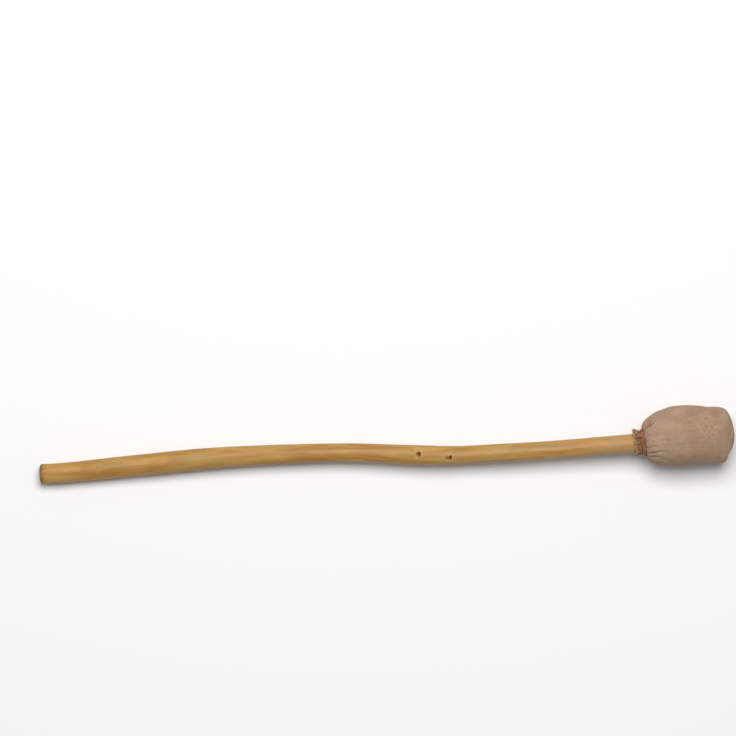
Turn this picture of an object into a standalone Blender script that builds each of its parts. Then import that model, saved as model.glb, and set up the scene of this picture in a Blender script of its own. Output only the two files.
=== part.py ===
"""A drum beater: a curved branch with a stuffed leather head tied on by waxed thread.

It lies on its side on the floor, z = 0. +X runs from the butt of the stick to the head,
and the stick's S-bend lies level, in the X-Y plane. Metres, +Z up.
"""

import math

import bmesh
import bpy
from mathutils import Vector

MM = 0.001
FIT_GAP = 0.3

# Sizes below are in millimetres and angles in degrees. Angles go round the beater's long axis
# from +Y over the top.

# ---- Stick: (place along X, value there) ----
BUTT_X = -269.6
STICK_END_X = 243.0
TIE_X = 199.0
STICK_BENDS = (
    (-269.6, -23.2), (-250.0, -22.1), (-191.0, -16.0), (-129.0, -10.1), (-67.0, -6.9), (-25.0, -6.2),
    (13.0, -7.6), (35.0, -8.2), (57.0, -8.0), (119.0, -4.5), (199.0, 1.8), (243.0, 5.2),
)
STICK_GIRTHS = (
    (-269.6, 15.9), (-240.0, 16.0), (-160.0, 16.8), (-98.0, 15.4), (-36.0, 14.4), (13.0, 15.0),
    (33.0, 15.3), (60.0, 14.1), (85.0, 14.2), (145.0, 13.8), (199.0, 14.6), (243.0, 14.0),
)
BUTT_AXIS_HEIGHT = 7.815
NECK_AXIS_HEIGHT = 22.0
STICK_SAG = 1.2
BUTT_ROUNDING = 1.4
BUTT_DOME = 0.5
STICK_SIDES = 20
STICK_STEP = 11.0
# Twig scars: place along X, angle, reach, height of the raised collar.
TWIG_SCARS = ((24.9, 84.0, 3.0, 0.55), (47.8, 106.0, 3.0, 0.6), (-148.0, 262.0, 3.2, 0.5))
SCAR_STEP = 2.4
SCAR_RINGS = 5

# ---- Head: distances are measured along X from the tie, towards the tip ----
# Each point: distance, radius, how far the ring's middle lies to the +Y side of the neck's.
HEAD_PROFILE = (
    (1.9, 9.3, 0.0), (2.0, 11.2, 0.0), (1.5, 12.7, 0.5), (1.8, 14.3, 1.1), (3.2, 15.9, 1.7),
    (6.0, 17.6, 2.5), (10.0, 19.7, 3.5), (15.0, 21.4, 4.4), (21.0, 22.7, 5.0), (28.0, 23.4, 5.4),
    (36.0, 23.3, 5.7), (46.0, 22.5, 5.9), (55.0, 21.7, 5.7), (60.6, 20.6, 5.5), (64.8, 18.2, 5.5),
    (67.8, 12.6, 5.6), (69.7, 6.6, 5.6), (70.6, 1.8, 5.6),
)
HEAD_TIP = 70.8
HEAD_AXIS_HEIGHT = 22.6
HEAD_RINGS = 30
HEAD_SIDES = 64
# Finer steps along the profile, and the first of them past the neck's overhang.
PROFILE_SAMPLES = 300
FIRST_SAMPLE = 60
NECK_RADIUS = 9.3
SOCKET_DEPTH = 44.4

# The tie sits a little askew, its +Y side nearer the butt, and the leather beside it follows.
TIE_SLANT = 0.17
SLANT_REACH = 20.0

# Puckers fan out from the tie, deepest on the shoulder. Their reach is measured on the surface.
PUCKERS = 13
PUCKER_DEPTH = 0.85
PUCKER_PEAK = 4.5
PUCKER_REACH = 21.0
# How their spacing and their depth wander round the neck: waves, size, start in radians.
PUCKER_WANDER = ((2, 0.16, 0.8), (5, 0.07, 0.0))
PUCKER_UNEVENNESS = ((3, 0.3, 1.9),)

# Folds pressed into the leather and lumps standing out of it: distance and angle at one end,
# the same at the other end, half-width, height (a fold's is below zero).
FORMS = (
    (2.5, 66.0, 13.0, 21.0, 2.0, -1.8),
    (3.8, 49.0, 10.8, 39.0, 1.5, -1.1),
    (4.4, 133.0, 14.5, 122.0, 1.7, -1.1),
    (58.5, 160.0, 61.5, 170.0, 4.0, 1.0),
    (66.0, 158.0, 66.0, 180.0, 2.6, -2.3),
    (56.0, 30.0, 58.5, 50.0, 5.0, -1.5),
    (63.0, 30.0, 63.5, 48.0, 3.6, 0.9),
    (66.5, 90.0, 68.5, 35.0, 3.0, -0.9),
)

# ---- Frill: the leather's free edge, between the tie and the bare stick ----
FRILL_START = -2.2
FRILL_END = -8.0
FRILL_CUSPS = (62.0, 97.0, 140.0, 183.0, 232.0, 286.0, 350.0)
FRILL_CUSP_RADIUS = 9.1
FRILL_LOBE_RADIUS = 11.1
FRILL_LOBE_ROUNDNESS = 0.6
FRILL_LOBE_LEAN = 1.1
FRILL_SWELL = 1.6
FRILL_THICKNESS = 1.3
FRILL_RINGS = 4

# ---- Binding thread ----
THREAD_DIAMETER = 1.1
THREAD_TURNS = 2
THREAD_PITCH = 1.4
THREAD_MIDDLE = -0.25
THREAD_SIDES = 6
THREAD_STEPS = 34
THREAD_DOME = 0.6
KNOT_ANGLE = 62.0
KNOT_SIZE = (2.8, 3.8, 2.3)
KNOT_STRANDS = 3
KNOT_RIDGE = 0.14
KNOT_TWIST = 0.8
KNOT_SIDES = 15
KNOT_RINGS = 7
# Each cut tail: how far it runs along X, how far it lifts, how many degrees it turns.
THREAD_TAILS = ((-3.6, 0.5, 5.0), (0.5, 1.9, -14.0))
TAIL_STEPS = 4
ALONG_THE_STICK = 0.9


def blend(a, b, amount):
    return a + (b - a) * amount


def ease(amount):
    amount = min(max(amount, 0.0), 1.0)
    return amount * amount * (3.0 - 2.0 * amount)


def along(points, place):
    """Value at a place on the smooth curve through (place, value) points."""
    last = len(points) - 1
    place = min(max(place, points[0][0]), points[last][0])
    i = max(k for k in range(last) if points[k][0] <= place)

    def slope(k):
        low = points[max(k - 1, 0)]
        high = points[min(k + 1, last)]
        return (high[1] - low[1]) / (high[0] - low[0])

    span = points[i + 1][0] - points[i][0]
    rise = points[i + 1][1] - points[i][1]
    t = (place - points[i][0]) / span
    early = slope(i) * span - rise
    late = rise - slope(i + 1) * span
    return blend(points[i][1], points[i + 1][1], t) + t * (1.0 - t) * (early * (1.0 - t) + late * t)


def through(points, t):
    """A point on the Catmull-Rom curve through a list of points, with t from 0 to 1."""
    last = len(points) - 1
    at = min(max(t, 0.0), 1.0) * last
    i = min(int(at), last - 1)
    t = at - i
    p0, p1, p2, p3 = (Vector(points[min(max(i + k, 0), last)]) for k in (-1, 0, 1, 2))
    bend = 2.0 * p0 - 5.0 * p1 + 4.0 * p2 - p3
    return 0.5 * (2.0 * p1 + (p2 - p0) * t + bend * t ** 2 + (3.0 * p1 - p0 - 3.0 * p2 + p3) * t ** 3)


def round_the_axis(centre, radius, angle):
    """The point at an angle on an upright circle round a point of the long axis."""
    return centre + Vector((0.0, radius * math.cos(angle), radius * math.sin(angle)))


# ------------------------------------------------------------------ mesh helpers

def material(name, colour, roughness):
    made = bpy.data.materials.new(name)
    made.use_nodes = True
    shader = made.node_tree.nodes["Principled BSDF"]
    shader.inputs["Base Color"].default_value = (*colour, 1.0)
    shader.inputs["Roughness"].default_value = roughness
    shader.inputs["Metallic"].default_value = 0.0
    return made


def add_object(name, bm, finish, sharp_angle=50.0):
    """Turns a bmesh drawn in millimetres into a smooth-shaded object in metres."""
    bmesh.ops.scale(bm, vec=(MM, MM, MM), verts=bm.verts)
    bmesh.ops.recalc_face_normals(bm, faces=bm.faces)
    mesh = bpy.data.meshes.new(name)
    bm.to_mesh(mesh)
    bm.free()
    mesh.shade_smooth()
    mesh.set_sharp_from_angle(angle=math.radians(sharp_angle))
    mesh.materials.append(finish)
    made = bpy.data.objects.new(name, mesh)
    bpy.context.scene.collection.objects.link(made)
    return made


def skin(bm, rings, first_pole, last_pole):
    """Joins rings of points into one closed surface that ends in a point at both ends."""
    loops = [[bm.verts.new(point) for point in ring] for ring in rings]
    for near, far in zip(loops, loops[1:]):
        count = len(near)
        for k in range(count):
            bm.faces.new((near[k], near[(k + 1) % count], far[(k + 1) % count], far[k]))
    for pole, loop in ((first_pole, loops[0]), (last_pole, loops[-1])):
        tip = bm.verts.new(pole)
        for k in range(len(loop)):
            bm.faces.new((loop[k], loop[(k + 1) % len(loop)], tip))


def tube(bm, path, radius, sides):
    """A round tube with domed ends along a list of points."""
    rings = []
    for i, point in enumerate(path):
        ahead = (path[min(i + 1, len(path) - 1)] - path[max(i - 1, 0)]).normalized()
        long_axis = Vector((1.0, 0.0, 0.0))
        upright = Vector((0.0, 0.0, 1.0))
        across = upright if abs(ahead.dot(long_axis)) > ALONG_THE_STICK else long_axis
        across = (across - ahead * ahead.dot(across)).normalized()
        over = ahead.cross(across)
        turns = [2.0 * math.pi * k / sides for k in range(sides)]
        rings.append([point + radius * (math.cos(a) * across + math.sin(a) * over) for a in turns])
    dome = radius * THREAD_DOME
    start = path[0] + (path[0] - path[1]).normalized() * dome
    end = path[-1] + (path[-1] - path[-2]).normalized() * dome
    skin(bm, rings, start, end)


# ------------------------------------------------------------------ stick

def stick_axis(x):
    """A point of the stick's middle line."""
    share = (x - BUTT_X) / (TIE_X - BUTT_X)
    sag = STICK_SAG * math.sin(math.pi * min(share, 1.0))
    height = blend(BUTT_AXIS_HEIGHT, NECK_AXIS_HEIGHT, share) - sag
    return Vector((x, along(STICK_BENDS, x), height))


def stick_radius(x):
    return along(STICK_GIRTHS, x) / 2.0


def stick_stations():
    """Places of the stick's rings: even steps, closer at the butt and at each twig scar."""
    half = SCAR_RINGS // 2
    close = [scar[0] + SCAR_STEP * k for scar in TWIG_SCARS for k in range(-half, half + 1)]
    close += [BUTT_X + BUTT_DOME + BUTT_ROUNDING * share for share in (0.0, 0.33, 1.0)]
    close.append(STICK_END_X)
    steps = int((STICK_END_X - BUTT_X) / STICK_STEP)
    even = [BUTT_X + STICK_STEP * k for k in range(1, steps)]
    spaced = [x for x in even if min(abs(x - c) for c in close) > STICK_STEP / 2.0]
    return sorted(close + spaced)


def scar_height(x, angle, radius):
    height = 0.0
    for place, scar_angle, reach, collar in TWIG_SCARS:
        turned = (angle - math.radians(scar_angle) + math.pi) % (2.0 * math.pi) - math.pi
        away = math.hypot(x - place, turned * radius) / reach
        height += collar * math.exp(-away * away)
    return height


def make_stick(finish):
    bm = bmesh.new()
    rings = []
    for x in stick_stations():
        centre = stick_axis(x)
        ahead = (stick_axis(x + 1.0) - stick_axis(x - 1.0)).normalized()
        across = (Vector((0.0, 1.0, 0.0)) - ahead * ahead.y).normalized()
        over = ahead.cross(across)
        radius = stick_radius(x)
        inset = max(0.0, 1.0 - (x - BUTT_X - BUTT_DOME) / BUTT_ROUNDING)
        radius -= BUTT_ROUNDING * (1.0 - math.sqrt(1.0 - min(inset, 1.0) ** 2))
        ring = []
        for k in range(STICK_SIDES):
            angle = 2.0 * math.pi * (k + 0.5) / STICK_SIDES
            reach = radius + scar_height(x, angle, radius)
            ring.append(centre + reach * (math.cos(angle) * across + math.sin(angle) * over))
        rings.append(ring)
    skin(bm, rings, stick_axis(BUTT_X), stick_axis(STICK_END_X + BUTT_DOME))
    return add_object("stick", bm, finish)


# ------------------------------------------------------------------ leather head

def slanted(point, distance):
    """Leans a point near the tie the way the tie lies on the neck."""
    fade = 1.0 - ease(distance / SLANT_REACH)
    return point - Vector((TIE_SLANT * fade * (point.y - stick_axis(TIE_X).y), 0.0, 0.0))


def neck_point(distance, radius, angle):
    return slanted(round_the_axis(stick_axis(TIE_X + distance), radius, angle), distance)


def head_centre(distance, offset):
    neck = stick_axis(TIE_X + distance)
    rise = offset / HEAD_PROFILE[-1][2]
    side = stick_axis(TIE_X).y + offset
    return Vector((TIE_X + distance, side, blend(neck.z, HEAD_AXIS_HEIGHT, min(rise, 1.0))))


def plain_head_point(distance, angle):
    """The point at a distance from the tie on the head without its folds."""
    samples = [through(HEAD_PROFILE, k / PROFILE_SAMPLES) for k in range(FIRST_SAMPLE, PROFILE_SAMPLES)]
    near = min(samples, key=lambda sample: abs(sample[0] - distance))
    return slanted(round_the_axis(head_centre(near[0], near[2]), near[1], angle), near[0])


def form_spans():
    """Each fold and lump as its two end points on the plain head, with its size."""
    spans = []
    for start, start_angle, end, end_angle, width, height in FORMS:
        a = plain_head_point(start, math.radians(start_angle))
        b = plain_head_point(end, math.radians(end_angle))
        spans.append((a, b, width, height))
    return spans


def form_height(point, spans):
    total = 0.0
    for a, b, width, height in spans:
        share = min(max((point - a).dot(b - a) / (b - a).length_squared, 0.0), 1.0)
        away = (point - a - (b - a) * share).length / width
        total += height * math.exp(-away * away)
    return total


def pucker_height(run, angle):
    """Waves round the neck whose spacing and depth wander, as gathered leather does."""
    if run > PUCKER_REACH:
        return 0.0
    rise = ease(run / PUCKER_PEAK)
    fall = 1.0 - ease((run - PUCKER_PEAK) / (PUCKER_REACH - PUCKER_PEAK))
    place = angle + sum(size * math.sin(waves * angle + start) for waves, size, start in PUCKER_WANDER)
    depth = PUCKER_DEPTH
    for waves, size, start in PUCKER_UNEVENNESS:
        depth *= 1.0 - size + size * math.sin(waves * angle + start)
    return depth * rise * fall * math.cos(PUCKERS * place)


def frill_bulge(angle):
    """How far the ruffled free edge stands out, 0 in its creases and 1 on its lobes."""
    turn = math.degrees(angle) % 360.0
    cusps = [FRILL_CUSPS[-1] - 360.0, *FRILL_CUSPS, FRILL_CUSPS[0] + 360.0]
    low = max(cusp for cusp in cusps if cusp <= turn)
    high = min(cusp for cusp in cusps if cusp > turn)
    return math.sin(math.pi * (turn - low) / (high - low)) ** FRILL_LOBE_ROUNDNESS


def frill_radius(angle):
    return blend(FRILL_CUSP_RADIUS, FRILL_LOBE_RADIUS, frill_bulge(angle))


def frill_distance(share, angle):
    """Place of the frill between its root, 0, and its free edge, 1, whose lobes reach further."""
    edge = FRILL_END + FRILL_LOBE_LEAN * (1.0 - frill_bulge(angle))
    return blend(FRILL_START, edge, share)


def socket_radius(x):
    return stick_radius(x) + FIT_GAP


def make_leather_head(finish):
    angles = [2.0 * math.pi * k / HEAD_SIDES for k in range(HEAD_SIDES)]
    spans = form_spans()
    rings = []

    # Outside, from the tie to the tip. Folds and puckers move it towards and away from its heart.
    run = 0.0
    before = through(HEAD_PROFILE, 0.0)
    for k in range(HEAD_RINGS + 1):
        here = through(HEAD_PROFILE, k / HEAD_RINGS)
        run += (here - before).length
        before = here
        distance, radius, offset = here
        centre = head_centre(distance, offset)
        heart = head_centre(min(max(distance, SLANT_REACH), HEAD_TIP - SLANT_REACH), offset)
        ring = []
        for angle in angles:
            point = slanted(round_the_axis(centre, radius, angle), distance)
            outward = (point - heart).normalized()
            point += outward * (form_height(point, spans) + pucker_height(run, angle))
            point.z = max(point.z, 0.0)
            ring.append(point)
        rings.insert(0, ring)

    # The groove that the thread lies in, then the frill's outside and inside.
    rings.append([neck_point(FRILL_START, NECK_RADIUS, angle) for angle in angles])
    for k in range(FRILL_RINGS):
        share = (k + 1) / FRILL_RINGS
        swell = ease(share * FRILL_SWELL)
        radii = [blend(NECK_RADIUS, frill_radius(a), swell) for a in angles]
        rings.append([neck_point(frill_distance(share, a), r, a) for a, r in zip(angles, radii)])
    bore = socket_radius(TIE_X + FRILL_END)
    for share in (1.0, 0.5):
        radii = [blend(bore, max(frill_radius(a) - FRILL_THICKNESS, bore), share) for a in angles]
        rings.append([neck_point(frill_distance(share, a), r, a) for a, r in zip(angles, radii)])

    # The socket round the stick.
    for distance in (FRILL_START, SOCKET_DEPTH / 2.0, SOCKET_DEPTH):
        x = TIE_X + distance
        rings.append([round_the_axis(stick_axis(x), socket_radius(x), angle) for angle in angles])

    bm = bmesh.new()
    blind_end = stick_axis(TIE_X + SOCKET_DEPTH + FIT_GAP)
    skin(bm, rings, head_centre(HEAD_TIP, HEAD_PROFILE[-1][2]), blind_end)
    return add_object("leather_head", bm, finish)


# ------------------------------------------------------------------ binding thread

def winding_path():
    """The thread's turns round the neck, starting and ending under the knot."""
    radius = NECK_RADIUS + FIT_GAP + THREAD_DIAMETER / 2.0
    path = []
    steps = THREAD_STEPS * THREAD_TURNS
    for k in range(steps + 1):
        turn = k / THREAD_STEPS
        distance = THREAD_MIDDLE + THREAD_PITCH * (turn - THREAD_TURNS / 2.0)
        angle = math.radians(KNOT_ANGLE) + 2.0 * math.pi * turn
        path.append(neck_point(distance, radius, angle))
    return path


def knot_body():
    """A small lump of crossed strands: an oval whose surface runs in slanting ridges."""
    middle = math.radians(KNOT_ANGLE)
    heart_radius = NECK_RADIUS + FIT_GAP + THREAD_DIAMETER
    rings = []
    for ring in range(1, KNOT_RINGS):
        tilt = math.pi * ring / KNOT_RINGS
        points = []
        for k in range(KNOT_SIDES):
            turn = 2.0 * math.pi * k / KNOT_SIDES
            ridge = 1.0 + KNOT_RIDGE * math.cos(KNOT_STRANDS * (turn + tilt * KNOT_TWIST))
            outward = KNOT_SIZE[2] / 2.0 * math.sin(tilt) * math.cos(turn) * ridge
            sideways = KNOT_SIZE[1] / 2.0 * math.sin(tilt) * math.sin(turn) * ridge
            distance = THREAD_MIDDLE - KNOT_SIZE[0] / 2.0 * math.cos(tilt)
            radius = heart_radius + outward
            points.append(neck_point(distance, radius, middle + sideways / radius))
        rings.append(points)
    ends = [neck_point(THREAD_MIDDLE + side * KNOT_SIZE[0] / 2.0, heart_radius, middle) for side in (-1, 1)]
    return rings, ends


def tail_path(reach, lift, turn):
    """A cut end of the thread, from inside the knot outward."""
    start = NECK_RADIUS + FIT_GAP + THREAD_DIAMETER * 1.5
    path = []
    for step in range(TAIL_STEPS + 1):
        t = step / TAIL_STEPS
        angle = math.radians(KNOT_ANGLE + turn * t)
        path.append(neck_point(THREAD_MIDDLE + reach * t, start + lift * t, angle))
    return path


def join_by_union(body, name, bm, finish):
    extra = add_object(name, bm, finish)
    extra.hide_render = True
    extra.display_type = "WIRE"
    joined = body.modifiers.new(name, "BOOLEAN")
    joined.operation = "UNION"
    joined.solver = "EXACT"
    joined.object = extra


def make_binding_thread(finish):
    bm = bmesh.new()
    tube(bm, winding_path(), THREAD_DIAMETER / 2.0, THREAD_SIDES)
    thread = add_object("binding_thread", bm, finish)

    bm = bmesh.new()
    rings, ends = knot_body()
    skin(bm, rings, ends[0], ends[1])
    join_by_union(thread, "knot_body", bm, finish)

    for index, (reach, lift, turn) in enumerate(THREAD_TAILS):
        bm = bmesh.new()
        tube(bm, tail_path(reach, lift, turn), THREAD_DIAMETER / 2.0, THREAD_SIDES)
        join_by_union(thread, f"thread_tail_{index}", bm, finish)
    return thread


for old in list(bpy.data.objects):
    bpy.data.objects.remove(old)

make_stick(material("peeled_wood", (0.46, 0.27, 0.11), 0.5))
make_leather_head(material("suede", (0.36, 0.25, 0.18), 0.9))
make_binding_thread(material("waxed_thread", (0.52, 0.17, 0.08), 0.6))
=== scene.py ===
"""The looks of a drum beater: a peeled branch with a stuffed suede head tied on by waxed thread.

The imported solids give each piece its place. Here lengths are in millimetres and angles in degrees,
which go round the beater's long axis from +Y over the top. Meshes are turned into metres at the end.
"""

import math

import bmesh
import bpy
import numpy as np
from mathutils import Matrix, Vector
from mathutils.bvhtree import BVHTree


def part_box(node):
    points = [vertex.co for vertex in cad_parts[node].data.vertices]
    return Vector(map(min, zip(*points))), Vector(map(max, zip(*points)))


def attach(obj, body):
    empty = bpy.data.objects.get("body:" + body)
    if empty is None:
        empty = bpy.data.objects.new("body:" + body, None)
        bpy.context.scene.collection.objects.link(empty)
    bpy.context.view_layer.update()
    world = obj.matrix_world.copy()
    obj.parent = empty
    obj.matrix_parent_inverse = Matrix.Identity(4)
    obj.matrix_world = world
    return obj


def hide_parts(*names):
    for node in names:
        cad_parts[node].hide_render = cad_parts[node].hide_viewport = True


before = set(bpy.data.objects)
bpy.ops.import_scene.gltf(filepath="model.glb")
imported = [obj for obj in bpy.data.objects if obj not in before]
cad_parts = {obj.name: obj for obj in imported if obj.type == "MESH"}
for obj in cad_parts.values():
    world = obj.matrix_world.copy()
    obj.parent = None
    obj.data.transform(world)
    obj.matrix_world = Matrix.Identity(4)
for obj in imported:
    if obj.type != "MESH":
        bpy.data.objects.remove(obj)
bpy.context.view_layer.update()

MM = 0.001
TURN = 2.0 * math.pi

# ---- Stick ----
STICK_SIDES = 128
STICK_STEP = 0.92
STICK_FINE_STEP = 0.3
# How far from a scar or the butt the rings stay close, and the run over which they then open out.
STICK_FINE_REACH = 4.0
STICK_FINE_FADE = 5.0
# Sections of the solid that rays measure: spacing, rays, rounds of centring, and what ends are left out.
SECTION_STEP = 8.0
SECTION_RAYS = 24
SECTION_ROUNDS = 4
SECTION_MARGIN = 3.0
BUTT_ROUNDING = 2.0
BUTT_DOME = 0.5
BUTT_FACE_SHARES = (0.1, 0.25, 0.4, 0.55, 0.7, 0.85, 1.0)
BUTT_ROUNDING_STEPS = 8
# Saw lines on the butt: depth, radians of a wave in a millimetre, direction in radians, fading length.
SAW_DEPTH = 0.06
SAW_WAVE = 4.5
SAW_SLANT = 0.4
SAW_FADE = 0.7
# The soiled rim of the butt: how far its middle is from the face, and its half-width.
RIM_PLACE = 1.4
RIM_SPREAD = 2.2
# Twig scars: place along X, angle, half-length, half-width, depth of the dark core, how dark.
TWIG_SCARS = (
    (25.7, 80.5, 1.2, 2.1, 0.8, 1),
    (23.9, 81, 0.9, 1.4, 0.3, 0.55),
    (50.1, 103.5, 1.15, 1.8, 0.7, 1),
    (47.9, 104, 1.8, 1.5, 0.3, 0.66),
    (-148, 262, 1.3, 1.9, 0.9, 0.9),
)

# ---- Head: distances run along X from the tie to the tip ----
# Each point: distance, radius, how far the ring's middle lies to the +Y side of the neck's.
HEAD_PROFILE = (
    (1.5, 9.3, 0), (1.25, 10.7, 0), (1.4, 12.2, 0.5), (2.2, 13.9, 1.1), (3.7, 15.8, 1.8),
    (6.2, 17.6, 2.6), (10, 19.7, 3.5), (15, 21.4, 4.4), (21, 22.7, 5), (28, 23.4, 5.4),
    (36, 23.3, 5.7), (46, 22.5, 5.9), (55, 21.7, 5.7), (60.6, 20.6, 5.5), (64.8, 18.2, 5.5),
    (67.8, 12.6, 5.6), (69.7, 6.6, 5.6), (70.6, 1.8, 5.6),
)
PROFILE_SAMPLES = 2000
# Where the search for a spot on the head starts, past the neck's overhang, and how finely it looks.
SPOT_FROM_RUN = 4.0
SPOT_SAMPLES = 1500
HEAD_TIP = 70.8
HEAD_AXIS_HEIGHT = 22.6
HEAD_COLUMNS = 400
HEAD_FINE_RUN = 26.0
HEAD_FINE_STEP = 0.3
HEAD_STEP = 0.6
NECK_RADIUS = 9.3
# Radii of the plain cylinders on which drawn-out noise is read.
STICK_CYLINDER = 8.0
HEAD_CYLINDER = 22.0
FRILL_CYLINDER = 9.0
SOCKET_DEPTH = 44.4
FIT_GAP = 0.3
TIE_SLANT = 0.17
SLANT_REACH = 20.0

# How far the hide bulges out over the tie, at which angle and run, and how far either side of them.
OVER_TIE = 0.5
OVER_TIE_ANGLE = 2.0
OVER_TIE_SPREAD = 28.0
OVER_TIE_RUN = 3.6
OVER_TIE_RUN_SPREAD = 2.4

# ---- Gathering the hide, by cloth simulation ----
# How much wider the hide was cut at the neck than it is tied, and how far that reaches.
GATHER = 0.4
GATHER_REACH = 28.0
CLOTH_COLUMNS = 144
CLOTH_FINE_STEP = 1.0
CLOTH_STEP = 2.0
# The simulation works on a larger hide, in metres for each millimetre.
CLOTH_SCALE = 0.01
CLOTH_SETTINGS = {
    "quality": 6, "mass": 0.3, "tension_stiffness": 40.0, "compression_stiffness": 40.0,
    "shear_stiffness": 12.0, "bending_stiffness": 1.5, "air_damping": 4.0,
    "vertex_group_mass": "held", "pin_stiffness": 1.0, "use_pressure": True, "uniform_pressure_force": 4.0,
}
# The frame by which the neck is tied in, and the frame at which the hide has settled.
CLOTH_TIED = 16
CLOTH_FRAMES = 30
# Past which run the stuffing holds the hide in place, and how firmly.
HOLD_FROM = 4.0
HOLD = 0.4
# How much of the simulated puckers stays once the stuffing packs them down, in all and of the deepest.
CLOTH_SHARE = 0.45
CLOTH_CAP = 4.0

PLEAT_POINTS = 18
GUIDE_POINTS = 8
# Pleats, each from the tie outward: its angle in the throat, if it starts there, its points
# (distance, angle) past the neck's overhang, depth, half-width, height of the lip beside it.
PLEATS = (
    (68, ((1.6, 63), (4.4, 47), (8, 34), (14.5, 18)), 1.6, 0.55, 0.45),
    (None, ((4, 55.5), (7, 48), (12, 39)), 1.1, 0.45, 0.35),
    (84, ((1.8, 79), (6, 73), (10.5, 69)), 0.6, 0.65, 0.3),
    (94, ((1.9, 92), (6, 89)), 0.5, 0.7, 0.2),
    (110, ((2, 112), (7, 109), (12, 108)), 0.5, 0.7, 0.25),
    (130, ((2.2, 131), (8, 125), (15.5, 121)), 0.9, 0.65, 0.4),
    (148, ((1.9, 146), (7, 140), (13, 138)), 0.8, 0.65, 0.3),
    (168, ((1.9, 166), (8, 161), (17, 158)), 0.9, 0.7, 0.35),
    (32, ((1.9, 26), (5, 16), (9, 8)), 0.5, 0.7, 0.15),
    (196, ((1.9, 196), (7, 192), (14, 193)), 1, 0.7, 0.4),
    (228, ((1.9, 226), (8, 222), (16, 220)), 1.1, 0.7, 0.45),
    (260, ((1.9, 262), (6, 266), (12, 268)), 0.9, 0.7, 0.35),
    (296, ((1.9, 298), (7, 303), (15, 306)), 1.1, 0.7, 0.5),
    (332, ((1.9, 334), (6, 340), (11, 343)), 0.9, 0.7, 0.35),
)

# Lumps and dents: distance and angle at one end and at the other, half-width, height.
FORMS = (
    (59, 352, 61, 8, 5, 0.8),
    (48.5, 356, 49.5, 12, 3.6, -0.5),
    (61.5, 146, 61.5, 170, 3.6, 1),
    (66.6, 150, 66.6, 182, 2.4, -2.2),
    (57, 146, 58.5, 160, 2.2, -0.7),
    (57.5, 24, 59, 44, 3.4, -0.9),
    (63, 24, 63.5, 44, 2.8, 0.7),
    (66.5, 90, 68.5, 35, 1.9, -0.8),
    (60, 62, 66.5, 78, 1.6, -0.4),
    (62, 250, 64, 285, 2.8, -0.7),
    (57, 215, 60, 232, 3.2, 0.6),
)

# The middle of the worn striking side, as the run from the neck and the angle, and how far it spreads.
WORN_RUN = 54.0
WORN_ANGLE = 70.0
WORN_RUN_SPREAD = 19.0
WORN_ANGLE_SPREAD = 46.0
# Worn pits on the striking side: distance, angle, half-length, half-width, depth.
PITS = (
    (42, 31, 0.9, 0.7, 0.5), (43.4, 37.5, 0.6, 0.5, 0.3), (41.2, 41, 1.4, 0.4, 0.25),
    (50.5, 33, 0.5, 0.5, 0.3), (52.8, 38.5, 0.5, 0.6, 0.3), (49, 55.5, 0.7, 0.4, 0.3),
    (50.3, 62, 0.9, 0.6, 0.5), (52.5, 63, 0.7, 0.4, 0.35), (55, 60.5, 0.8, 0.9, 0.5),
    (53.4, 67, 1.6, 0.35, 0.25), (44.8, 75.5, 0.6, 0.5, 0.4), (47.4, 73, 1, 0.4, 0.3),
    (51.2, 73.5, 0.7, 0.7, 0.45), (45.8, 81.5, 0.5, 0.4, 0.3), (48.8, 84, 1.3, 0.5, 0.4),
    (50.8, 81.5, 0.6, 0.5, 0.4), (49.6, 95, 0.6, 0.5, 0.35), (40.6, 95, 0.8, 0.4, 0.3),
    (36.5, 61, 0.6, 0.4, 0.25), (38.2, 71, 1.2, 0.35, 0.25), (46.4, 57.5, 0.6, 0.4, 0.25),
)
# Rough patches of finer pits away from the worn middle: distance, angle, half-size.
ROUGH_PATCHES = ((30.5, 102, 3.6), (27.5, 130, 3.4), (17.6, 41, 2.2))

# ---- Frill: the hide's free edge, between the tie and the bare stick ----
FRILL_START = -1.7
FRILL_END = -8.0
# Angles of the creases between the lobes; then each lobe's size and how far back its edge is drawn.
FRILL_CREASES = (62, 97, 140, 183, 232, 286, 350)
FRILL_LOBES = ((1, 0.2), (0.75, 0.9), (0.8, 0.3), (0.7, 0.6), (0.9, 0.1), (0.8, 0.7), (1.1, 0.4))
FRILL_CREASE_RADIUS = 8.7
FRILL_LOBE_RADIUS = 10.9
FRILL_ROUNDNESS = 0.85
FRILL_FLARE = 0.3
FRILL_NOTCH = 2.0
FRILL_OVERHANG = 6.5
FRILL_THICKNESS = 1.25
FRILL_ROWS = 26
FRILL_EDGE_ROWS = 9
FRILL_INNER_STRIDE = 2
# Smaller dents pressed into the frill: distance, angle, half-length, half-width, depth.
FRILL_DENTS = (
    (-5.6, 71, 1.5, 0.7, 1), (-3.9, 80, 1.2, 0.8, 0.8), (-6.4, 86, 1.3, 0.6, 0.8),
    (-5, 48, 1.8, 0.7, 0.7), (-6.6, 32, 1.4, 0.8, 0.7), (-4.4, 22, 1.2, 0.9, 0.6),
    (-5.6, 109, 1.7, 0.8, 0.9), (-4.2, 124, 1.3, 0.9, 0.9), (-6.6, 131, 1.2, 0.7, 0.7),
    (-5.4, 158, 1.7, 0.7, 0.9), (-4.4, 171, 1.2, 0.8, 0.6), (-5.8, 203, 1.8, 0.8, 0.9),
    (-4.6, 218, 1.3, 0.9, 0.7), (-6.2, 252, 1.6, 0.8, 0.9), (-4.6, 268, 1.2, 0.9, 0.7),
    (-5.6, 307, 1.8, 0.8, 0.9), (-4.4, 326, 1.3, 0.9, 0.8),
)

# Painted shade: dark knobs on the frill's edge where it lies in shadow: distance, angle, size.
FRILL_SHADE_KNOBS = ((-7.6, 6, 1.9), (-6.6, 176, 2.1), (-7, 300, 1.6))

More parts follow.
